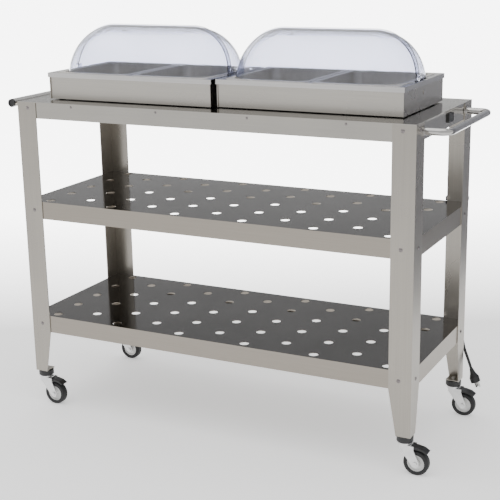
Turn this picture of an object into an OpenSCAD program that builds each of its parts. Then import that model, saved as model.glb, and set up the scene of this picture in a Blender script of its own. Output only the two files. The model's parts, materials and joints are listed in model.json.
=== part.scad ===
// Three-tier stainless serving cart with two roll-top buffet servers on its deck.
// X runs along the cart with the U handle on the right, Y runs from front to rear, Z is up.
// All lengths are in millimetres; the wheels stand on the plane z = 0.

/* [Cart] */
// length of the deck
cart_length = 1300; // [900:10:1600]
// depth of the deck
cart_depth = 508; // [400:4:700]
// height of the deck's top face
deck_height = 1008; // [800:2:1100]
// height of the middle shelf's top face
mid_height = 692; // [500:2:800]
// height of the lower shelf's top face
low_height = 312; // [200:2:450]
// height of the folded edge of the deck
apron_height = 51; // [30:1:80]
// height of the folded edge of a shelf
skirt_height = 56; // [30:1:80]
// thickness of the deck and shelf sheet
sheet = 2; // [1:0.5:3]

/* [Legs] */
// width of a leg flange down to the lower shelf
leg_width = 68; // [40:1:90]
// width of a leg flange at its foot
foot_width = 44; // [30:1:60]
// thickness of the leg sheet
leg_sheet = 2.5; // [1.5:0.5:4]
// height of the leg's foot above the floor
foot_height = 116; // [100:1:160]

/* [Shelf holes] */
// diameter of one round hole
hole_diameter = 28; // [10:1:40]
// distance between hole columns
hole_pitch_x = 113.5; // [80:0.5:150]
// distance between hole rows
hole_pitch_y = 56; // [40:0.5:80]
// number of hole columns
hole_columns = 11; // [5:2:15]
// number of hole rows
hole_rows = 9; // [3:2:11]

/* [Casters] */
// diameter of a wheel
wheel_diameter = 75; // [50:1:125]
// width of a tyre
tyre_width = 24; // [16:1:32]
// distance from the swivel axis to the wheel axle
trail = 36; // [20:1:50]

/* [Handles] */
// diameter of the U handle's tube
handle_tube = 20; // [14:1:30]
// reach of the U handle from the deck's right end to its centre line
handle_reach = 70; // [50:1:100]
// distance between the U handle's arms
handle_span = 390; // [200:5:450]
// drop of the U handle's centre line below the deck
handle_drop = 26; // [15:1:40]
// diameter of the grip bar on the left end
grip_tube = 26; // [20:1:34]

/* [Servers] */
// length of a server's top frame
server_length = 578; // [500:2:640]
// depth of a server's top frame
server_depth = 350; // [300:2:400]
// height of a server's top face above the deck
server_height = 84; // [60:1:120]
// radius of the outer roll cover
cover_radius = 172; // [120:1:180]
// half the length of the outer roll cover
cover_half = 280; // [220:1:300]
// radius of the rounding at the ends of the outer roll cover
cover_rounding = 136; // [40:1:160]
// thickness of a cover
cover_wall = 3; // [2:0.5:5]

/* [Power cord] */
// diameter of the cord
cord_diameter = 9; // [6:0.5:12]

/* [Hidden] */
steel = [0.66, 0.64, 0.61];
dark_steel = [0.42, 0.42, 0.43];
bright = [0.78, 0.78, 0.78];
black = [0.05, 0.05, 0.055];
tyre_black = [0.08, 0.08, 0.085];
hub_grey = [0.8, 0.8, 0.79];
clear_plastic = [0.77, 0.79, 0.85];
fine = 64;

half_x = cart_length / 2;
half_y = cart_depth / 2;
box_depth = 31;
bolt_head = 2.5;
x_mid = (handle_reach + handle_tube / 2 - 24 - grip_tube / 2) / 2;
y_mid = (box_depth - bolt_head) / 2;
bolt_radius = 3;
bolt_inset = 38;
apron_z = deck_height - apron_height;
return_width = 12;
taper_top = low_height - skirt_height;
cap_height = 20;
wheel_radius = wheel_diameter / 2;
leg_centre = 23;
run_gap = 0.05;

// Rows of leg bolts: one at the deck, one at each shelf.
bolt_rows = [deck_height - 19, mid_height - 28, low_height - 28];
brace_pitch = 300;
brace_xs = [for (i = [-1.5 : 1.5]) i * brace_pitch];

// Corner signs of the legs and casters: [x side, y side].
front_left = [-1, -1];
front_right = [1, -1];
rear_left = [-1, 1];
rear_right = [1, 1];
corners = [front_left, front_right, rear_left, rear_right];

// Servers stand on the deck at these centres.
left_server = [-288, -12];
right_server = [297, 4];
feet_height = 3;
axis_below = 34;
axis_height = server_height - axis_below;
pan_flange = [265, 325];
pan_bowl = [240, 296];
pan_pitch = 272;
pan_depth = 60;
pan_sheet = 1;
cover_gap = 2.5;
cover_start = 36;
cover_turn = 80;
pin_radius = 4;
rim_drop = 14;

// Everything is drawn about the cart's middle and moved so that its outline is centred.
module cart() {
    translate([-x_mid, -y_mid, 0]) children();
}

module rounded_rect(size, r) {
    square([size[0] - 2 * r, size[1]], center = true);
    square([size[0], size[1] - 2 * r], center = true);
    for (sx = [-1, 1], sy = [-1, 1])
        translate([sx * (size[0] / 2 - r), sy * (size[1] / 2 - r)]) circle(r, $fn = fine);
}

module box_at(low, high) {
    translate(low) cube(high - low);
}

// ---- sheet-metal trays: a plate with folded edges and a short inward return ----
module tray(size, height) {
    x = size[0] / 2;
    y = size[1] / 2;
    box_at([-x, -y, -sheet], [x, y, 0]);
    for (s = [-1, 1]) {
        translate([0, s * (y - sheet / 2), -height / 2]) cube([2 * x, sheet, height], center = true);
        translate([s * (x - sheet / 2), 0, -height / 2]) cube([sheet, 2 * y, height], center = true);
        translate([0, s * (y - return_width / 2), sheet / 2 - height])
            cube([2 * x, return_width, sheet], center = true);
        translate([s * (x - return_width / 2), 0, sheet / 2 - height])
            cube([return_width, 2 * y, sheet], center = true);
    }
}

module bolt_holes(radius) {
    for (c = corners, z = bolt_rows) {
        translate([c[0] * (half_x - bolt_inset), c[1] * half_y, z]) rotate([90, 0, 0])
            cylinder(r = radius, h = 20, center = true, $fn = 24);
        translate([c[0] * half_x, c[1] * (half_y - bolt_inset), z]) rotate([0, 90, 0])
            cylinder(r = radius, h = 20, center = true, $fn = 24);
    }
}

module handle_holes() {
    for (s = [-1, 1]) translate([half_x, s * handle_span / 2, deck_height - handle_drop]) rotate([0, 90, 0])
        cylinder(r = handle_tube / 2, h = 20, center = true, $fn = fine);
}

module top_deck() {
    color(steel) cart() difference() {
        union() {
            box_at([-half_x, -half_y, deck_height - sheet], [half_x, half_y, deck_height]);
            translate([0, 0, deck_height - sheet])
                tray([cart_length - 2 * leg_sheet, cart_depth - 2 * leg_sheet], apron_height - sheet);
        }
        bolt_holes(bolt_radius);
        handle_holes();
    }
}

module deck_braces() {
    color(dark_steel) cart() for (x = brace_xs) {
        box_at([x - 30, -half_y + leg_sheet + sheet, deck_height - 2 * sheet - 2],
            [x + 30, half_y - leg_sheet - sheet, deck_height - 2 * sheet]);
        for (s = [-1, 1])
            box_at([x + s * 29 - 1, -half_y + leg_sheet + sheet, deck_height - 30],
                [x + s * 29 + 1, half_y - leg_sheet - sheet, deck_height - 2 * sheet - 2]);
    }
}

module shelf(top) {
    cart() difference() {
        translate([0, 0, top])
            tray([cart_length - 2 * leg_sheet, cart_depth - 2 * leg_sheet], skirt_height);
        for (i = [0 : hole_columns - 1], j = [0 : hole_rows - 1]) if ((i + j) % 2 == 0)
            translate([(i - (hole_columns - 1) / 2) * hole_pitch_x,
                    (j - (hole_rows - 1) / 2) * hole_pitch_y, top])
                cylinder(d = hole_diameter, h = 3 * sheet, center = true, $fn = 48);
        bolt_holes(bolt_radius);
    }
}

module middle_shelf() {
    color(dark_steel) shelf(mid_height);
}

module lower_shelf() {
    color(dark_steel) shelf(low_height);
}

// ---- legs: two flanges meeting at the outer corner, tapered below the lower shelf ----
module leg_flange() {
    linear_extrude(leg_sheet) polygon([
        [0, foot_height], [foot_width, foot_height], [leg_width, taper_top],
        [leg_width, deck_height - sheet], [0, deck_height - sheet]
    ]);
}

module leg(c) {
    color(steel) cart() difference() {
        translate([c[0] * half_x, c[1] * half_y, 0]) scale([-c[0], -c[1], 1]) {
            translate([0, leg_sheet, 0]) rotate([90, 0, 0]) leg_flange();
            rotate([0, 0, 90]) rotate([90, 0, 0]) leg_flange();
            translate([leg_sheet, leg_sheet, foot_height]) cube([foot_width - 4, foot_width - 4, 3]);
        }
        bolt_holes(bolt_radius);
        handle_holes();
        translate([c[0] * (half_x - leg_centre), c[1] * (half_y - leg_centre), foot_height])
            cylinder(r = 6 + run_gap, h = 12, center = true, $fn = 48);
    }
}

module leg_front_left() { leg(front_left); }
module leg_front_right() { leg(front_right); }
module leg_rear_left() { leg(rear_left); }
module leg_rear_right() { leg(rear_right); }

// A domed screw along +Z with its head's underside at z = 0.
module dome_screw(head, tall, shank, length) {
    rotate_extrude($fn = 32) intersection() {
        translate([0, tall - (head * head + tall * tall) / (2 * tall)])
            circle((head * head + tall * tall) / (2 * tall), $fn = 96);
        square([head, tall]);
    }
    translate([0, 0, -length]) cylinder(r = shank, h = length, $fn = 24);
}

module at_bolts() {
    for (c = corners, z = bolt_rows) {
        translate([c[0] * (half_x - bolt_inset), c[1] * half_y, z]) rotate([-90 * c[1], 0, 0]) children();
        translate([c[0] * half_x, c[1] * (half_y - bolt_inset), z]) rotate([0, 90 * c[0], 0]) children();
    }
}

module leg_bolts() {
    color(bright) cart() at_bolts() dome_screw(6, bolt_head, bolt_radius, 10);
}

module leg_nuts() {
    color(bright) cart() at_bolts() translate([0, 0, -leg_sheet - sheet - 4]) difference() {
        cylinder(r = 6, h = 4, $fn = 6);
        translate([0, 0, -1]) cylinder(r = bolt_radius, h = 6, $fn = 24);
    }
}

module deck_screws() {
    color(dark_steel) cart() for (x = brace_xs, s = [-1, 1])
        translate([x, s * (half_y - leg_sheet), deck_height - 10]) rotate([-90 * s, 0, 0])
            dome_screw(4, 1.6, 2, sheet);
}

// ---- right U handle: bent tube with a round rose where each arm meets the apron ----
bend = 26;
handle_z = deck_height - handle_drop;

module tube_along(radius, length) {
    difference() {
        cylinder(r = radius, h = length, $fn = fine);
        translate([0, 0, -1]) cylinder(r = radius - 1.5, h = length + 2, $fn = fine);
    }
}

module push_handle() {
    r = handle_tube / 2;
    arm = handle_reach - bend + leg_sheet + sheet;
    bar = handle_span - 2 * bend;
    color(bright) cart() translate([half_x, 0, handle_z]) {
        for (s = [-1, 1]) {
            translate([-leg_sheet - sheet, s * handle_span / 2, 0]) rotate([0, 90, 0]) tube_along(r, arm);
            translate([handle_reach - bend, s * (handle_span / 2 - bend), 0])
                rotate([0, 0, s > 0 ? 0 : -90])
                rotate_extrude(angle = 90, $fn = fine) translate([bend, 0]) difference() {
                    circle(r, $fn = fine);
                    circle(r - 1.5, $fn = fine);
                }
        }
        translate([handle_reach, bar / 2, 0]) rotate([90, 0, 0]) tube_along(r, bar);
    }
}

module handle_roses() {
    color(bright) cart() for (s = [-1, 1])
        translate([half_x, s * handle_span / 2, handle_z]) rotate([0, 90, 0]) difference() {
            cylinder(r = 14, h = 4, $fn = fine);
            translate([0, 0, -1]) cylinder(r = handle_tube / 2, h = 6, $fn = fine);
        }
}

// ---- left grip bar: straight tube along the deck's left edge ----
grip_x = -half_x - 24;
grip_z = deck_height - 7;
grip_cap = 6;

module grip_bar() {
    color(bright) cart() translate([grip_x, half_y - grip_cap, grip_z]) rotate([90, 0, 0])
        tube_along(grip_tube / 2, cart_depth - 2 * grip_cap);
}

module grip_bar_posts() {
    color(dark_steel) cart() for (s = [-1, 0, 1]) translate([0, s * 170, deck_height - 12]) {
        difference() {
            translate([-half_x + leg_sheet, 0, 0]) rotate([0, -90, 0])
                cylinder(r = 6, h = 24, $fn = 32);
            translate([grip_x, 0, grip_z - deck_height + 12]) rotate([90, 0, 0])
                cylinder(r = grip_tube / 2, h = 30, center = true, $fn = fine);
        }
        translate([-half_x + leg_sheet, 0, 0]) rotate([0, -90, 0]) cylinder(r = 9, h = 3, $fn = 32);
    }
}

module grip_bar_caps() {
    color(black) cart() for (s = [-1, 1])
        translate([grip_x, s * (half_y - grip_cap), grip_z]) rotate([-90 * s, 0, 0]) {
            difference() {
                cylinder(r = grip_tube / 2, h = grip_cap, $fn = fine);
                translate([0, 0, grip_cap - 1.5]) cylinder(r = grip_tube / 2 - 5, h = 2, $fn = fine);
            }
            translate([0, 0, -14]) cylinder(r = grip_tube / 2 - 1.5, h = 14, $fn = fine);
        }
}

// ---- rocker switch in the right apron ----
switch_y = 44;
switch_z = deck_height - 24;
rocker_half = [17, 8.5];
rocker_axis = 3.2;
rocker_pin = 1.2;

module switch_bezel() {
    color(black) cart()
    translate([half_x - leg_sheet, switch_y, switch_z]) rotate([90, 0, 90]) difference() {
        linear_extrude(5) rounded_rect([46, 26], 4);
        cube([2 * rocker_half[0] + 0.8, 2 * rocker_half[1] + 0.8, 12], center = true);
        translate([0, 0, rocker_axis]) rotate([90, 0, 0])
            cylinder(r = rocker_pin + run_gap, h = 22.4, center = true, $fn = 32);
    }
}

module switch_rocker() {
    color(black) cart() translate([half_x - leg_sheet, switch_y, switch_z]) rotate([90, 0, 90]) {
        translate([0, 0, 1.8]) linear_extrude(3.4) square(2 * rocker_half, center = true);
        translate([0, 0, rocker_axis]) rotate([90, 0, 0])
            cylinder(r = rocker_pin, h = 22, center = true, $fn = 32);
    }
}

// ---- power box, gland and cord hook behind the rear right leg ----
box_x = half_x - 34;
box_wide = 52;
box_tall = 56;
box_top = deck_height - 30;
gland_y = half_y + box_depth / 2;
gland_x = box_x + 6;
gland_top = box_top - box_tall;
gland_length = 26;

module power_box() {
    color(dark_steel) cart() difference() {
        box_at([box_x - box_wide / 2, half_y, gland_top],
               [box_x + box_wide / 2, half_y + box_depth, box_top]);
        translate([gland_x, gland_y, gland_top - 1]) cylinder(r = 6, h = 12, $fn = 32);
    }
}

module cord_gland() {
    color(black) cart() translate([gland_x, gland_y, gland_top]) rotate([180, 0, 0]) {
        cylinder(r = 9, h = 5, $fn = 6);
        translate([0, 0, 5]) cylinder(r1 = 8, r2 = 6, h = gland_length - 5, $fn = 32);
        translate([0, 0, -8]) cylinder(r = 6, h = 8, $fn = 32);
    }
}

hank_x = box_x - 6;
hank_y = half_y + 15;
hank_top = 800;
hank_run = 150;
hank_half = 27;
peg_radius = 8;
hook_z = hank_top - cord_diameter / 2 - peg_radius;

module cord_hook() {
    color(bright) cart() translate([hank_x, half_y, hook_z]) rotate([-90, 0, 0]) {
        cylinder(r = peg_radius, h = 29, $fn = 32);
        translate([0, 0, 29]) cylinder(r = 13, h = 2, $fn = 32);
        cylinder(r = 12, h = 2, $fn = 32);
    }
}

// ---- cord: a hand-chosen route swept as a tube ----
function lerp(a, b, t) = a + (b - a) * t;
function unit(v) = v / norm(v);
function smooth(p, i, t) =
    let (a = p[max(i - 1, 0)], b = p[i], c = p[i + 1], d = p[min(i + 2, len(p) - 1)])
    0.5 * (2 * b + (c - a) * t + (2 * a - 5 * b + 4 * c - d) * t * t + (3 * b - a - 3 * c + d) * t * t * t);
function dense(p, n) = concat(
    [for (i = [0 : len(p) - 2], k = [0 : n - 1]) smooth(p, i, k / n)], [p[len(p) - 1]]);
function side_of(t) = unit(cross(t, [0, 1, 0]));
function tangent(p, i) = unit(p[min(i + 1, len(p) - 1)] - p[max(i - 1, 0)]);
tube_sides = 10;

module tube(p, radius) {
    n = len(p);
    points = [for (i = [0 : n - 1]) let (t = tangent(p, i), u = side_of(t), v = cross(t, u))
        for (k = [0 : tube_sides - 1]) p[i] + radius * (cos(k * 36) * u + sin(k * 36) * v)];
    sides = [for (i = [0 : n - 2], k = [0 : tube_sides - 1]) let (m = (k + 1) % tube_sides)
        [i * tube_sides + k, i * tube_sides + m, (i + 1) * tube_sides + m, (i + 1) * tube_sides + k]];
    first = [for (k = [tube_sides - 1 : -1 : 0]) k];
    last = [for (k = [0 : tube_sides - 1]) (n - 1) * tube_sides + k];
    polyhedron(points, concat([first], sides, [last]));
}

hank_foot = hank_top - hank_half - hank_run;
tail_route = [
    [hank_x + hank_half, hank_y + 9, hank_foot + 6], [hank_x + hank_half, hank_y + 5, 570],
    [hank_x + 25, hank_y, 500], [hank_x + 23, hank_y, 440], [hank_x + 22, hank_y, 380],
    [hank_x + 22, hank_y, 320], [hank_x + 27, hank_y, 262], [hank_x + 38, hank_y, 212],
    [hank_x + 51, hank_y, 177], [hank_x + 62.5, hank_y, 146]
];
lead_route = [
    [gland_x, gland_y, gland_top - gland_length], [gland_x, gland_y, 876],
    [gland_x + 4, gland_y - 2, 850], [hank_x + 24, hank_y - 6, 820],
    [hank_x + hank_half, hank_y - 9, 786]
];

module power_cord() {
    color(black) cart() {
        tube(dense(lead_route, 3), cord_diameter / 2);
        tube(dense(tail_route, 4), cord_diameter / 2);
    }
}

hank_wide = 2 * hank_half + cord_diameter;
hank_thick = 3 * cord_diameter;

module track(half, run) {
    square([2 * half, run], center = true);
    for (s = [-1, 1]) translate([0, s * run / 2]) circle(half, $fn = fine);
}

module cord_hank() {
    color(black) cart() translate([hank_x, hank_y + hank_thick / 2, hank_top - hank_half - hank_run / 2])
        rotate([90, 0, 0]) linear_extrude(hank_thick) difference() {
            track(hank_half + cord_diameter / 2, hank_run);
            track(hank_half - cord_diameter / 2, hank_run);
        }
}

module hank_tie() {
    color(black) cart() translate([hank_x, hank_y, hank_top - hank_half - hank_run / 2]) difference() {
        cube([hank_wide + 3, hank_thick + 3, 12], center = true);
        cube([hank_wide, hank_thick, 14], center = true);
    }
}

// ---- moulded plug at the end of the cord ----
plug_top = tail_route[len(tail_route) - 1];
plug_turn = [0, 159, 0];
plug_long = 46;
plug_radius = 15.5;

module plug_body() {
    color(black) cart() translate(plug_top) rotate(plug_turn) {
        cylinder(r1 = cord_diameter / 2 + 1, r2 = 9, h = 16, $fn = 32);
        translate([0, 0, 16]) cylinder(r1 = 9, r2 = plug_radius, h = 14, $fn = 32);
        translate([0, 0, 30]) cylinder(r = plug_radius, h = plug_long - 30, $fn = 32);
    }
}

module plug_blades() {
    color(bright) cart() translate(plug_top) rotate(plug_turn) translate([0, 0, plug_long]) {
        for (s = [-1, 1]) translate([0, s * 6.35, 8.5]) cube([6.3, 1.5, 17], center = true);
        translate([-8, 0, 0]) cylinder(r = 2.4, h = 19, $fn = 24);
    }
}

// ---- casters ----
axle_height = wheel_radius;
hub_radius = 26;
axle_radius = 4;
plate_z = foot_height - cap_height;
cap_radius = 24.5;
plate_thick = 4;
cheek = 2.5;
cheek_gap = tyre_width / 2 + 2.5;
fork_top = plate_z - 6;
pedal_pin = [24, 0, fork_top - 6];
pedal_pin_radius = 2.5;

module at_caster(c) {
    cart() translate([c[0] * (half_x - leg_centre), c[1] * (half_y - leg_centre), 0]) children();
}

module caster_caps() {
    color(black) for (c = corners) at_caster(c) translate([0, 0, plate_z]) rotate_extrude($fn = 96)
        polygon([[6 + run_gap, 0], [cap_radius - 3, 0], [cap_radius, 3], [cap_radius, cap_height - 2],
            [cap_radius - 2, cap_height], [6 + run_gap, cap_height]]);
}

// The fork: stem, swivel race and two cheeks that carry the axle.
module fork() {
    color(bright) {
        translate([0, 0, fork_top]) cylinder(r = 6, h = foot_height + 7 - fork_top, $fn = 48);
        translate([0, 0, fork_top - 1]) cylinder(r = 20, h = plate_z - fork_top + 0.6, $fn = fine);
        translate([0, 0, fork_top - plate_thick])
            cylinder(r = cheek_gap + cheek, h = plate_thick, $fn = fine);
        translate([0, -cheek_gap - cheek, fork_top - plate_thick])
            cube([15, 2 * (cheek_gap + cheek), plate_thick]);
        translate(pedal_pin) rotate([90, 0, 0])
            cylinder(r = pedal_pin_radius, h = 2 * (cheek_gap + cheek), center = true, $fn = 32);
        for (s = [-1, 1]) translate([0, s * (cheek_gap + cheek / 2), 0]) rotate([90, 0, 0]) difference() {
            translate([0, 0, -cheek / 2]) linear_extrude(cheek) union() {
                polygon([[-12, fork_top], [31, fork_top], [31, fork_top - 12],
                    [trail + 11, axle_height + 4], [trail + 8, axle_height - 8],
                    [trail - 8, axle_height - 8], [-12, fork_top - 10]]);
                translate([trail, axle_height]) circle(11, $fn = 48);
            }
            translate([trail, axle_height, -5]) cylinder(r = axle_radius, h = 10, $fn = 32);
        }
    }
}

module axle() {
    color(dark_steel) translate([trail, 0, axle_height]) rotate([90, 0, 0]) {
        cylinder(r = axle_radius, h = 2 * (cheek_gap + cheek) + 4, center = true, $fn = 32);
        for (s = [-1, 1]) translate([0, 0, s * (cheek_gap + cheek + 2)])
            cylinder(r = 7, h = 4, center = true, $fn = 6);
    }
}

module hub() {
    color(hub_grey) translate([trail, 0, axle_height]) rotate([90, 0, 0]) difference() {
        union() {
            cylinder(r = hub_radius, h = tyre_width - 8, center = true, $fn = fine);
            cylinder(r = 10, h = tyre_width + 2, center = true, $fn = 48);
        }
        cylinder(r = axle_radius + run_gap, h = 2 * tyre_width, center = true, $fn = 48);
        for (s = [-1, 1]) translate([0, 0, s * (tyre_width / 2 - 4)]) difference() {
            cylinder(r = hub_radius - 4, h = 6, center = true, $fn = fine);
            cylinder(r = 12, h = 8, center = true, $fn = 48);
        }
    }
}

module tyre() {
    color(tyre_black) translate([trail, 0, axle_height]) rotate([90, 0, 0]) rotate_extrude($fn = 96) {
        translate([hub_radius, -tyre_width / 2]) square([wheel_radius - hub_radius - 5, tyre_width]);
        translate([hub_radius, 5 - tyre_width / 2]) square([wheel_radius - hub_radius, tyre_width - 10]);
        for (s = [-1, 1]) translate([wheel_radius - 5, s * (tyre_width / 2 - 5)]) circle(5, $fn = 48);
    }
}

// The brake pedal: a tread plate over the wheel, carried on a pin between two arms.
module brake() {
    color(black) difference() {
        union() {
            translate([0, 0, pedal_pin[2]]) rotate([90, 0, 0])
                linear_extrude(2 * cheek_gap - 1, center = true)
                polygon([[24, -4], [38, -4], [54, -6], [68, -12], [72, -10], [58, -1], [40, 3], [24, 4]]);
            translate(pedal_pin) rotate([90, 0, 0])
                cylinder(r = 5, h = 2 * cheek_gap - 1, center = true, $fn = 48);
        }
        translate(pedal_pin) rotate([90, 0, 0])
            cylinder(r = pedal_pin_radius + run_gap, h = 4 * cheek_gap, center = true, $fn = 32);
    }
}

module fork_front_left() { at_caster(front_left) fork(); }
module axle_front_left() { at_caster(front_left) axle(); }
module hub_front_left() { at_caster(front_left) hub(); }
module tyre_front_left() { at_caster(front_left) tyre(); }
module brake_front_left() { at_caster(front_left) brake(); }
module fork_front_right() { at_caster(front_right) fork(); }
module axle_front_right() { at_caster(front_right) axle(); }
module hub_front_right() { at_caster(front_right) hub(); }
module tyre_front_right() { at_caster(front_right) tyre(); }
module brake_front_right() { at_caster(front_right) brake(); }
module fork_rear_left() { at_caster(rear_left) fork(); }
module axle_rear_left() { at_caster(rear_left) axle(); }
module hub_rear_left() { at_caster(rear_left) hub(); }
module tyre_rear_left() { at_caster(rear_left) tyre(); }
module brake_rear_left() { at_caster(rear_left) brake(); }
module fork_rear_right() { at_caster(rear_right) fork(); }
module axle_rear_right() { at_caster(rear_right) axle(); }
module hub_rear_right() { at_caster(rear_right) hub(); }
module tyre_rear_right() { at_caster(rear_right) tyre(); }
module brake_rear_right() { at_caster(rear_right) brake(); }

// ---- buffet servers ----
body_half = [server_length / 2 - 3, server_depth / 2 - 3];
panel_inset = 4;
body_top = server_height - sheet;

module at_server(place) {
    cart() translate([place[0], place[1], deck_height]) children();
}

module server_body() {
    x = body_half[0];
    y = body_half[1] - panel_inset;
    color(steel) difference() {
        union() {
            box_at([-x, -y, feet_height], [x, y, feet_height + sheet]);
            for (s = [-1, 1]) {
                translate([0, s * (y - sheet / 2), (feet_height + body_top) / 2])
                    cube([2 * x, sheet, body_top - feet_height], center = true);
                translate([s * (x - sheet / 2), 0, (feet_height + body_top) / 2])
                    cube([sheet, 2 * body_half[1], body_top - feet_height], center = true);
            }
        }
        for (s = [-1, 1]) translate([s * x, 0, axis_height]) rotate([0, 90, 0])
            cylinder(r = pin_radius, h = 12, center = true, $fn = 32);
    }
}

// The top frame: a plate with a folded rim, two pan openings and a slot for the cover arms at each end.
slot_low = cover_half - 2 * cover_wall - cover_gap - 1.5;
slot_high = cover_half + 1.5;
slot_reach = 45;

module server_frame() {
    x = server_length / 2;
    y = server_depth / 2;
    color(bright) difference() {
        union() {
            box_at([-x, -y, body_top], [x, y, server_height]);
            for (s = [-1, 1]) {
                translate([0, s * (y - sheet / 2), server_height - rim_drop / 2])
                    cube([2 * x, sheet, rim_drop], center = true);
                translate([s * (x - sheet / 2), 0, server_height - rim_drop / 2])
                    cube([sheet, 2 * y, rim_drop], center = true);
            }
        }
        for (s = [-1, 1]) {
            translate([s * pan_pitch / 2, 0, body_top - 1]) linear_extrude(2 * sheet)
                rounded_rect(pan_bowl + [2, 2], 31);
            translate([s * (slot_low + slot_high) / 2, 0, body_top])
                cube([slot_high - slot_low, 2 * slot_reach, 3 * sheet], center = true);
        }
    }
}

// Two half-size pans side by side, each hanging in the frame by its flange.
module server_pans() {
    color(bright) for (s = [-1, 1]) translate([s * pan_pitch / 2, 0, server_height]) {
        linear_extrude(pan_sheet) difference() {
            rounded_rect(pan_flange, 20);
            rounded_rect(pan_bowl - [3, 3], 28.5);
        }
        translate([0, 0, -pan_depth]) linear_extrude(pan_depth) difference() {
            rounded_rect(pan_bowl, 30);
            rounded_rect(pan_bowl - [3, 3], 28.5);
        }
        translate([0, 0, -pan_depth - 1.5]) linear_extrude(1.5) rounded_rect(pan_bowl, 30);
    }
}

// Half outline of a cover turned about its long axis.
module cover_outline(radius, half, rounding) {
    intersection() {
        union() {
            translate([0, rounding - half]) square([radius, 2 * (half - rounding)]);
            translate([0, -half]) square([radius - rounding, 2 * half]);
            for (s = [-1, 1])
                translate([radius - rounding, s * (half - rounding)]) circle(rounding, $fn = 128);
        }
        translate([0, -half]) square([radius, 2 * half]);
    }
}

module cover_shell(step) {
    rotate([0, 90, 0]) rotate_extrude($fn = 128) difference() {
        cover_outline(cover_radius - step, cover_half - step, cover_rounding - step);
        cover_outline(cover_radius - step - cover_wall, cover_half - step - cover_wall,
            cover_rounding - step - cover_wall);
    }
}

// A prism along X from an outline given as [y, z] about the cover's axis.
module along_x(points, length) {
    rotate([90, 0, 90]) linear_extrude(length, center = true) polygon(points);
}

module arm(step, side) {
    for (s = [-1, 1]) translate([s * (cover_half - step - cover_wall / 2), 0, 0]) {
        rotate([0, 90, 0]) cylinder(r = 9, h = cover_wall, center = true, $fn = 48);
        along_x([[0, -9], [side * 9, 0], [side * 30, 42], [side * 14, 48], [0, 9]], cover_wall);
    }
}

reach = cover_radius + 5;
edge = [-cos(cover_turn), sin(cover_turn)];
edge_low = (cover_start + edge[0] * cover_start) / edge[1];
edge_high = (reach + edge[0] * cover_start) / edge[1];
outer_region = [
    [-reach, cover_start],
    [-edge[0] * edge_low - edge[1] * cover_start, cover_start],
    [-edge[0] * edge_high - edge[1] * cover_start, reach],
    [-reach, reach]
];
inner_start = cover_start - 1;
inner_region = [[-36, inner_start], [reach, inner_start], [reach, reach], [-10, reach]];
lip_width = 7;
lip_height = 2;
lip_region = [for (corner = [[edge_low, 0], [edge_high, 0], [edge_high, lip_width], [edge_low, lip_width]])
    [-edge[0] * corner[0] - edge[1] * (cover_start + corner[1]),
        edge[1] * corner[0] - edge[0] * (cover_start + corner[1])]];

module front_cover() {
    color(clear_plastic) translate([0, 0, axis_height]) difference() {
        union() {
            intersection() {
                cover_shell(0);
                along_x(outer_region, 2 * reach + 2 * cover_half);
            }
            intersection() {
                cover_shell(-lip_height);
                along_x(lip_region, 2 * reach + 2 * cover_half);
                translate([0, 0, cover_radius])
                    cube([2 * cover_half, 2 * cover_radius, 2 * (cover_radius - slot_reach)],
                         center = true);
            }
            arm(0, -1);
        }
        rotate([0, 90, 0]) cylinder(r = pin_radius + run_gap, h = 3 * cover_half, center = true, $fn = 48);
    }
}

module rear_cover() {
    step = cover_wall + cover_gap;
    color(clear_plastic) translate([0, 0, axis_height]) difference() {
        union() {
            intersection() {
                cover_shell(step);
                along_x(inner_region, 2 * reach + 2 * cover_half);
            }
            arm(step, 1);
        }
        rotate([0, 90, 0]) cylinder(r = pin_radius, h = 3 * cover_half, center = true, $fn = 48);
    }
}

module cover_pins() {
    length = body_half[0] - slot_low;
    color(bright) for (place = [left_server, right_server], s = [-1, 1])
        at_server(place) translate([s * slot_low, 0, axis_height]) rotate([0, 90 * s, 0]) {
            cylinder(r = pin_radius, h = length, $fn = 32);
            translate([0, 0, length]) cylinder(r = 6, h = 2, $fn = 32);
        }
}

module server_feet() {
    color(black) for (place = [left_server, right_server], sx = [-1, 1], sy = [-1, 1])
        at_server(place) translate([sx * 262, sy * 142, 0]) cylinder(r = 10, h = feet_height, $fn = 32);
}

module left_server_body() { at_server(left_server) server_body(); }
module left_server_frame() { at_server(left_server) server_frame(); }
module left_server_pans() { at_server(left_server) server_pans(); }
module left_rear_cover() { at_server(left_server) rear_cover(); }
module left_front_cover() { at_server(left_server) front_cover(); }
module right_server_body() { at_server(right_server) server_body(); }
module right_server_frame() { at_server(right_server) server_frame(); }
module right_server_pans() { at_server(right_server) server_pans(); }
module right_rear_cover() { at_server(right_server) rear_cover(); }
module right_front_cover() { at_server(right_server) front_cover(); }

top_deck();
deck_braces();
middle_shelf();
lower_shelf();
leg_front_left();
leg_front_right();
leg_rear_left();
leg_rear_right();
leg_bolts();
leg_nuts();
deck_screws();
push_handle();
handle_roses();
grip_bar();
grip_bar_posts();
grip_bar_caps();
switch_bezel();
switch_rocker();
power_box();
cord_gland();
cord_hook();
power_cord();
cord_hank();
hank_tie();
plug_body();
plug_blades();
caster_caps();
left_server_body();
left_server_frame();
left_server_pans();
left_rear_cover();
left_front_cover();
right_server_body();
right_server_frame();
right_server_pans();
right_rear_cover();
right_front_cover();
cover_pins();
server_feet();
fork_front_left();
axle_front_left();
hub_front_left();
tyre_front_left();
brake_front_left();
fork_front_right();
axle_front_right();
hub_front_right();
tyre_front_right();
brake_front_right();
fork_rear_left();
axle_rear_left();
hub_rear_left();
tyre_rear_left();
brake_rear_left();
fork_rear_right();
axle_rear_right();
hub_rear_right();
tyre_rear_right();
brake_rear_right();
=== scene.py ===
# Visual model of a three-tier stainless serving cart with two roll-top servers on its deck.
import json
import math

import bpy
from mathutils import Matrix, Vector


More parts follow.
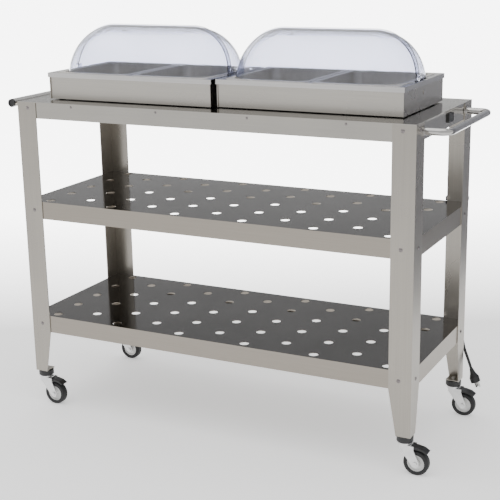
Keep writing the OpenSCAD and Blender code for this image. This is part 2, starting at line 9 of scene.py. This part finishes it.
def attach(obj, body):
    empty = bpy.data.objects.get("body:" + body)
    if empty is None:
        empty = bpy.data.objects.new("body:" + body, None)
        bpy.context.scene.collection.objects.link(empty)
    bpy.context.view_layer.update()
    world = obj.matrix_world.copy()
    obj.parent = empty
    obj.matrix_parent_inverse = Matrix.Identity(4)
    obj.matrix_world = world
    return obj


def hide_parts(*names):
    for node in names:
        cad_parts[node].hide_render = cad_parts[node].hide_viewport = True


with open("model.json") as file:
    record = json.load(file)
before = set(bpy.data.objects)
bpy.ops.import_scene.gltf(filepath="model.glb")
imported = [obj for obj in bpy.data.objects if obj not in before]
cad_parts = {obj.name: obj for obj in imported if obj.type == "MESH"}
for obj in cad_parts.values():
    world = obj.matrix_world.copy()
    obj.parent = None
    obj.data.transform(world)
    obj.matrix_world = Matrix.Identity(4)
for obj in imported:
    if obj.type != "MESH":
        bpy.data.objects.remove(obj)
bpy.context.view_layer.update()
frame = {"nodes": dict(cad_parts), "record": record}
nodes = frame["nodes"]


def show(obj):
    bpy.context.scene.collection.objects.link(obj)
    return obj


# ---- camera ----
YAW, PITCH, ROLL = 0.4729, 0.2689, -0.0184  # radians: turned left, looking down, tilted
CAMERA_PLACE = (1.5834, -3.1043, 1.4927)
LENS, SENSOR = 82.2, 36  # mm


def make_camera():
    level = math.cos(PITCH)
    ahead = Vector((-math.sin(YAW) * level, math.cos(YAW) * level, -math.sin(PITCH)))
    right = Vector((math.cos(YAW), math.sin(YAW), 0))
    up = right.cross(ahead)
    tilted_right = math.cos(ROLL) * right + math.sin(ROLL) * up
    tilted_up = math.cos(ROLL) * up - math.sin(ROLL) * right
    data = bpy.data.cameras.new("view")
    data.sensor_width = SENSOR
    data.lens = LENS
    camera = show(bpy.data.objects.new("view", data))
    turn = Matrix((tilted_right, tilted_up, -ahead)).transposed().to_4x4()
    camera.matrix_world = Matrix.Translation(CAMERA_PLACE) @ turn
    bpy.context.scene.camera = camera


# ---- small helpers for node materials ----
def new_material(name):
    material = bpy.data.materials.new(name)
    material.use_nodes = True
    tree = material.node_tree
    return material, tree, tree.nodes["Principled BSDF"]


def add(tree, kind, **settings):
    node = tree.nodes.new(kind)
    for key, value in settings.items():
        if key in node.inputs:
            node.inputs[key].default_value = value
        else:
            setattr(node, key, value)
    return node


def stretched_noise(tree, stretch, detail=4.0):
    """Noise in metres, drawn out along the axis whose stretch is small."""
    place = add(tree, "ShaderNodeTexCoord")
    mapping = add(tree, "ShaderNodeMapping")
    mapping.inputs["Scale"].default_value = stretch
    noise = add(tree, "ShaderNodeTexNoise", Scale=1.0, Detail=detail, Roughness=0.6)
    tree.links.new(place.outputs["Object"], mapping.inputs["Vector"])
    tree.links.new(mapping.outputs["Vector"], noise.inputs["Vector"])
    return noise


def ramp(tree, source, low, high, start=0.3, end=0.7):
    """A colour ramp from low to high over the middle of a noise."""
    node = add(tree, "ShaderNodeValToRGB")
    first, last = node.color_ramp.elements
    first.position, last.position = start, end
    first.color, last.color = (*low, 1), (*high, 1)
    tree.links.new(source, node.inputs["Fac"])
    return node


def span(tree, source, low, high):
    node = add(tree, "ShaderNodeMapRange")
    node.inputs["To Min"].default_value = low
    node.inputs["To Max"].default_value = high
    tree.links.new(source, node.inputs["Value"])
    return node


def bump(tree, shader, source, strength, distance):
    node = add(tree, "ShaderNodeBump", Strength=strength, Distance=distance)
    tree.links.new(source, node.inputs["Height"])
    tree.links.new(node.outputs["Normal"], shader.inputs["Normal"])


# ---- materials ----
def scaled(colour, factor):
    return tuple(c * factor for c in colour)


def brushed(name, colour, grain, rough=(0.22, 0.34), vary=0.06):
    """Brushed sheet: fine lines along one axis and slow clouding where it has been wiped."""
    material, tree, shader = new_material(name)
    lines = stretched_noise(tree, grain)
    clouds = stretched_noise(tree, (3.0, 3.0, 3.0), 3.0)
    tint = ramp(tree, lines.outputs["Fac"], scaled(colour, 1 - vary), scaled(colour, 1 + vary))
    wiped = ramp(tree, clouds.outputs["Fac"], (0.9, 0.9, 0.91), (1.0, 1.0, 1.0))
    mix = add(tree, "ShaderNodeMixRGB", blend_type="MULTIPLY", Fac=1.0)
    tree.links.new(tint.outputs["Color"], mix.inputs["Color1"])
    tree.links.new(wiped.outputs["Color"], mix.inputs["Color2"])
    tree.links.new(mix.outputs["Color"], shader.inputs["Base Color"])
    rougher = span(tree, clouds.outputs["Fac"], *rough)
    tree.links.new(rougher.outputs["Result"], shader.inputs["Roughness"])
    shader.inputs["Metallic"].default_value = 1.0
    bump(tree, shader, lines.outputs["Fac"], 0.12, 0.0002)
    return material


def shelf_sheet(name, painted_reflection_top_colour, skirt_colour):
    """A polished tray: its level top is a smooth mirror given a dark colour, a painted reflection of the
    dark underside of the shelf above, and its folded skirt is brushed and pale.
    """
    material, tree, shader = new_material(name)
    lines = stretched_noise(tree, (4.0, 900.0, 900.0))
    clouds = stretched_noise(tree, (3.5, 3.5, 3.5), 3.0)
    # painted reflection: the tray's top gets this dark colour in place of the dark shelf underside it
    # would mirror
    top = ramp(tree, clouds.outputs["Fac"], scaled(painted_reflection_top_colour, 0.85), scaled(painted_reflection_top_colour, 1.15))
    skirt = ramp(tree, lines.outputs["Fac"], scaled(skirt_colour, 0.94), scaled(skirt_colour, 1.06))
    place = add(tree, "ShaderNodeNewGeometry")
    split = add(tree, "ShaderNodeSeparateXYZ")
    # faces pointing up take the dark painted-reflection colour, all other faces keep the skirt's own
    # colour
    level = add(tree, "ShaderNodeMath", operation="GREATER_THAN")
    level.inputs[1].default_value = 0.5
    tree.links.new(place.outputs["Normal"], split.inputs["Vector"])
    tree.links.new(split.outputs["Z"], level.inputs[0])
    mix = add(tree, "ShaderNodeMixRGB", blend_type="MIX")
    tree.links.new(level.outputs["Value"], mix.inputs["Fac"])
    tree.links.new(skirt.outputs["Color"], mix.inputs["Color1"])
    tree.links.new(top.outputs["Color"], mix.inputs["Color2"])
    tree.links.new(mix.outputs["Color"], shader.inputs["Base Color"])
    smoother = span(tree, level.outputs["Value"], 0.28, 0.1)
    tree.links.new(smoother.outputs["Result"], shader.inputs["Roughness"])
    shader.inputs["Metallic"].default_value = 1.0
    bump(tree, shader, lines.outputs["Fac"], 0.08, 0.0002)
    return material


ALONG_X = (4.0, 900.0, 900.0)
ALONG_Z = (900.0, 900.0, 4.0)
EVEN = (60.0, 60.0, 60.0)


def plain_metal(name, colour, rough):
    """Turned, drawn or plated metal: an even sheen with faint wear."""
    material, tree, shader = new_material(name)
    wear = stretched_noise(tree, EVEN)
    tint = ramp(tree, wear.outputs["Fac"], scaled(colour, 0.9), scaled(colour, 1.05))
    tree.links.new(tint.outputs["Color"], shader.inputs["Base Color"])
    rougher = span(tree, wear.outputs["Fac"], rough * 0.8, rough * 1.25)
    tree.links.new(rougher.outputs["Result"], shader.inputs["Roughness"])
    shader.inputs["Metallic"].default_value = 1.0
    return material


def moulded(name, colour, rough, grain=900.0, depth=0.1):
    """Moulded plastic or rubber with a fine spark-eroded grain."""
    material, tree, shader = new_material(name)
    pits = stretched_noise(tree, (grain, grain, grain), 2.0)
    patches = stretched_noise(tree, (25.0, 25.0, 25.0), 3.0)
    tint = ramp(tree, patches.outputs["Fac"], scaled(colour, 0.8), scaled(colour, 1.2))
    tree.links.new(tint.outputs["Color"], shader.inputs["Base Color"])
    rougher = span(tree, patches.outputs["Fac"], rough * 0.85, rough * 1.15)
    tree.links.new(rougher.outputs["Result"], shader.inputs["Roughness"])
    bump(tree, shader, pits.outputs["Fac"], depth, 0.0003)
    return material


def clear(name, colour):
    """Clear polycarbonate with a faint blue cast."""
    material, tree, shader = new_material(name)
    haze = stretched_noise(tree, (9.0, 9.0, 9.0), 3.0)
    tint = ramp(tree, haze.outputs["Fac"], scaled(colour, 0.98), scaled(colour, 1.02))
    tree.links.new(tint.outputs["Color"], shader.inputs["Base Color"])
    rougher = span(tree, haze.outputs["Fac"], 0.03, 0.07)
    tree.links.new(rougher.outputs["Result"], shader.inputs["Roughness"])
    shader.inputs["Transmission Weight"].default_value = 1.0
    shader.inputs["IOR"].default_value = 1.49
    return material


def make_materials():
    return {
        "deck_steel": brushed("deck_steel", (0.37, 0.355, 0.325), ALONG_X, (0.12, 0.2)),
        "leg_steel": brushed("leg_steel", (0.35, 0.328, 0.292), ALONG_Z),
        # shelf: the first colour is the top's dark painted reflection, the second is the skirt's own
        # steel colour
        "shelf_steel": shelf_sheet("shelf_steel", (0.12, 0.115, 0.113), (0.29, 0.263, 0.228)),
        "server_steel": brushed("server_steel", (0.44, 0.42, 0.385), ALONG_X),
        "frame_steel": brushed("frame_steel", (0.5, 0.49, 0.48), ALONG_X, (0.1, 0.16)),
        "pan_steel": plain_metal("pan_steel", (0.88, 0.86, 0.8), 0.3),
        "handle_steel": plain_metal("handle_steel", (0.45, 0.44, 0.43), 0.1),
        "fixings": plain_metal("fixings", (0.22, 0.2, 0.2), 0.3),
        "box_steel": moulded("box_steel", (0.05, 0.05, 0.052), 0.35),
        "zinc": plain_metal("zinc", (0.78, 0.78, 0.78), 0.3),
        "clear_cover": clear("clear_cover", (0.62, 0.635, 0.72)),
        "black_plastic": moulded("black_plastic", (0.008, 0.008, 0.009), 0.42),
        "cord_rubber": moulded("cord_rubber", (0.008, 0.008, 0.009), 0.5),
        "tyre_rubber": moulded("tyre_rubber", (0.008, 0.008, 0.009), 0.62, 600.0, 0.25),
        "hub_plastic": moulded("hub_plastic", (0.75, 0.75, 0.74), 0.38),
        "blade_nickel": plain_metal("blade_nickel", (0.75, 0.75, 0.73), 0.25),
    }


def dress(materials):
    for part in frame["record"]["subparts"]:
        node = nodes[part["node"]]
        node.data.materials.clear()
        node.data.materials.append(materials[part["material_slot"]])


# ---- mains lead ----
CORD = 0.009
GLAND_X, GLAND_Y = 0.6005, 0.25525
HANK_X, HANK_Y = 0.5885, 0.25475
HANK_TOP = 0.773
HANK_LOW = 0.623
HANK_HALF = 0.027
TURNS = 2
TURN_GAP = 1.01 * CORD
ARC_STEPS = 6


def hank_turn():
    """One turn, as (across, height): round its foot, up the left run, round its top, down the right."""
    steps = [math.pi * k / ARC_STEPS for k in range(ARC_STEPS + 1)]
    bottom = [(HANK_HALF * math.cos(a), HANK_LOW - HANK_HALF * math.sin(a)) for a in steps]
    top = [(-HANK_HALF * math.cos(a), HANK_TOP + HANK_HALF * math.sin(a)) for a in steps]
    low = HANK_LOW + 0.25 * (HANK_TOP - HANK_LOW)
    high = HANK_LOW + 0.75 * (HANK_TOP - HANK_LOW)
    left = [(-HANK_HALF, low), (-HANK_HALF, high)]
    right = [(HANK_HALF, high), (HANK_HALF, low)]
    return bottom + left + top + right


def hank():
    """The turns lie behind each other, hardly more than one cord's thickness apart."""
    turn = hank_turn()
    points = []
    for k in range(TURNS * len(turn)):
        across, height = turn[k % len(turn)]
        behind = TURN_GAP * (k / len(turn) - TURNS / 2)
        points.append((HANK_X + across, HANK_Y + behind, height))
    return points


def make_cord(materials):
    lead = [(GLAND_X, GLAND_Y, 0.896), (GLAND_X, GLAND_Y, 0.886), (GLAND_X, GLAND_Y, 0.876)]
    lead += [(GLAND_X + 0.004, GLAND_Y - 0.002, 0.85), (HANK_X + 0.024, HANK_Y - 0.006, 0.82)]
    lead += [(HANK_X + HANK_HALF, HANK_Y - CORD, height) for height in (0.786, 0.735, 0.66)]
    tail = [
        (HANK_X + 0.027, HANK_Y + 0.008, 0.60), (HANK_X + 0.027, HANK_Y + 0.005, 0.57),
        (HANK_X + 0.025, HANK_Y, 0.50), (HANK_X + 0.023, HANK_Y, 0.44), (HANK_X + 0.022, HANK_Y, 0.38),
        (HANK_X + 0.022, HANK_Y, 0.32), (HANK_X + 0.027, HANK_Y, 0.262), (HANK_X + 0.038, HANK_Y, 0.212),
        (HANK_X + 0.051, HANK_Y, 0.177), (HANK_X + 0.0625, HANK_Y, 0.146),
    ]
    route = lead + hank() + tail
    curve = bpy.data.curves.new("mains_lead", "CURVE")
    curve.dimensions = "3D"
    curve.bevel_depth = CORD / 2
    curve.bevel_resolution = 4
    curve.use_fill_caps = True
    spline = curve.splines.new("BEZIER")
    spline.bezier_points.add(len(route) - 1)
    for bezier, point in zip(spline.bezier_points, route):
        bezier.co = point
        bezier.handle_left_type = bezier.handle_right_type = "AUTO"
    cord = show(bpy.data.objects.new("mains_lead", curve))
    curve.materials.append(materials["cord_rubber"])
    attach(cord, "cart")
    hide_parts("power_cord", "cord_hank")


# ---- floor and light ----
FLOOR_HALF = 40.0
GLOW = (0.5, 6.0)  # emission strength of the floor round the cart, and of the floor far behind it
GLOW_START, GLOW_END = 0.8, 2.8  # metres behind the cart's middle, along the view


def stage_panel(name, corners):
    """A flat matt panel that isn't part of the cart."""
    data = bpy.data.meshes.new(name)
    data.from_pydata(corners, [], [(0, 1, 2, 3)])
    panel = show(bpy.data.objects.new(name, data))
    material, tree, shader = new_material(name)
    shader.inputs["Roughness"].default_value = 0.9
    data.materials.append(material)
    return panel, tree, shader


def make_floor():
    """A pale floor that grows brighter behind the cart, so that the background is near white."""
    far = FLOOR_HALF
    corners = [(-far, -far, 0), (far, -far, 0), (far, far, 0), (-far, far, 0)]
    floor, tree, shader = stage_panel("floor", corners)
    shader.inputs["Base Color"].default_value = (0.97, 0.97, 0.97, 1)
    shader.inputs["Emission Color"].default_value = (1, 1, 1, 1)
    place = add(tree, "ShaderNodeTexCoord")
    turned = add(tree, "ShaderNodeMapping")
    turned.inputs["Rotation"].default_value = (0, 0, -YAW)
    split = add(tree, "ShaderNodeSeparateXYZ")
    glow = span(tree, split.outputs["Y"], *GLOW)
    glow.inputs["From Min"].default_value = GLOW_START
    glow.inputs["From Max"].default_value = GLOW_END
    tree.links.new(place.outputs["Object"], turned.inputs["Vector"])
    tree.links.new(turned.outputs["Vector"], split.inputs["Vector"])
    tree.links.new(glow.outputs["Result"], shader.inputs["Emission Strength"])


def area_light(name, place, target, size, power):
    data = bpy.data.lights.new(name, "AREA")
    data.shape = "RECTANGLE"
    data.size, data.size_y = size
    data.energy = power
    light = show(bpy.data.objects.new(name, data))
    light.location = place
    light.rotation_euler = (Vector(target) - Vector(place)).to_track_quat("-Z", "Y").to_euler()


def grey_card(name, low, high, colour):
    """An upright card that only shows in the steel's reflections, from every side."""
    left, right = low[:2], high[:2]
    corners = [(*left, low[2]), (*right, low[2]), (*right, high[2]), (*left, high[2])]
    card, tree, shader = stage_panel(name, corners)
    shader.inputs["Base Color"].default_value = (*colour, 1)
    card.visible_camera = False
    card.visible_diffuse = False
    card.visible_transmission = False
    card.visible_shadow = False


def make_light():
    world = bpy.data.worlds.new("studio")
    world.use_nodes = True
    background = world.node_tree.nodes["Background"]
    background.inputs["Color"].default_value = (1, 1, 1, 1)
    background.inputs["Strength"].default_value = 1.0
    bpy.context.scene.world = world
    area_light("top", (-0.5, -0.5, 4.2), (0, 0, 0.6), (5.0, 4.0), 90)
    grey_card("side_card", (1.5, 0.2, 0.0), (-0.3, 6.0, 2.6), (0.16, 0.163, 0.18))
    grey_card("rear_card", (-9.0, 6.0, 1.9), (1.0, 6.0, 3.6), (0.16, 0.16, 0.16))


make_camera()
materials = make_materials()
make_cord(materials)
dress(materials)
make_floor()
make_light()
